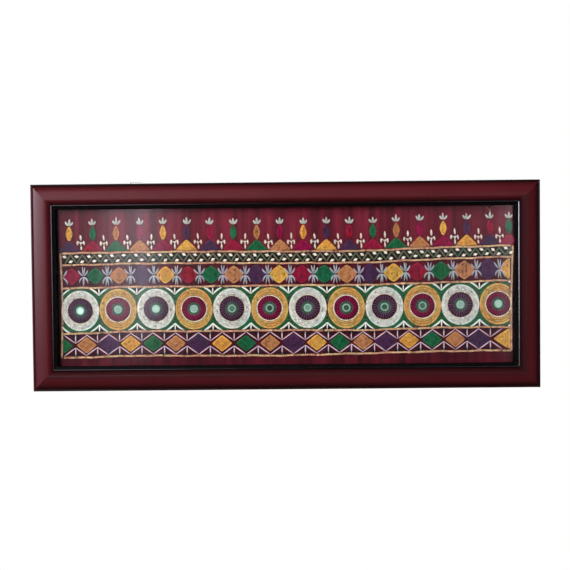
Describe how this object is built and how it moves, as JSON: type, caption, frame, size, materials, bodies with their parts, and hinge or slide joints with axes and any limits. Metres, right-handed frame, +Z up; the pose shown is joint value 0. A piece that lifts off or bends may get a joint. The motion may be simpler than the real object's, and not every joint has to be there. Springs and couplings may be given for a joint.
{
  "type": "embroidered panel in a picture frame",
  "caption": "Long embroidered cloth panel with sewn-in mirrors, behind glass in a mitred dark red picture frame, with ring hangers on its back.",
  "frame": {"origin": "middle of the flat back of the backing board, which is flush with the backs of the rails", "axes": "+X along the long side to the viewer's right, +Y backward into the wall, +Z up; the embroidery faces -Y"},
  "size_m": [0.62, 0.0251, 0.258],
  "materials": {
    "moulding": "dark red lacquer shading to black at both edges, semi-gloss",
    "glazing": "clear thin picture glass",
    "cloth": "maroon ground closely covered with silk thread in many colours",
    "mirrors": "small hand-cut silvered glass discs",
    "board": "plain brown hardboard",
    "steel": "plated wire and strap"
  },
  "bodies": {
    "root": {"rail_top": "moulding", "rail_left": "moulding", "rail_bottom": "moulding", "rail_right": "moulding", "glass": "glazing", "embroidered_cloth": "cloth", "mirror_01": "mirrors", "mirror_02": "mirrors", "mirror_03": "mirrors", "mirror_04": "mirrors", "mirror_05": "mirrors", "mirror_06": "mirrors", "mirror_07": "mirrors", "mirror_08": "mirrors", "mirror_09": "mirrors", "mirror_10": "mirrors", "mirror_11": "mirrors", "mirror_12": "mirrors", "backing_board": "board", "strap_left": "steel", "ring_left": "steel", "screw_left": "steel", "strap_right": "steel", "ring_right": "steel", "screw_right": "steel"}
  },
  "joints": []
}
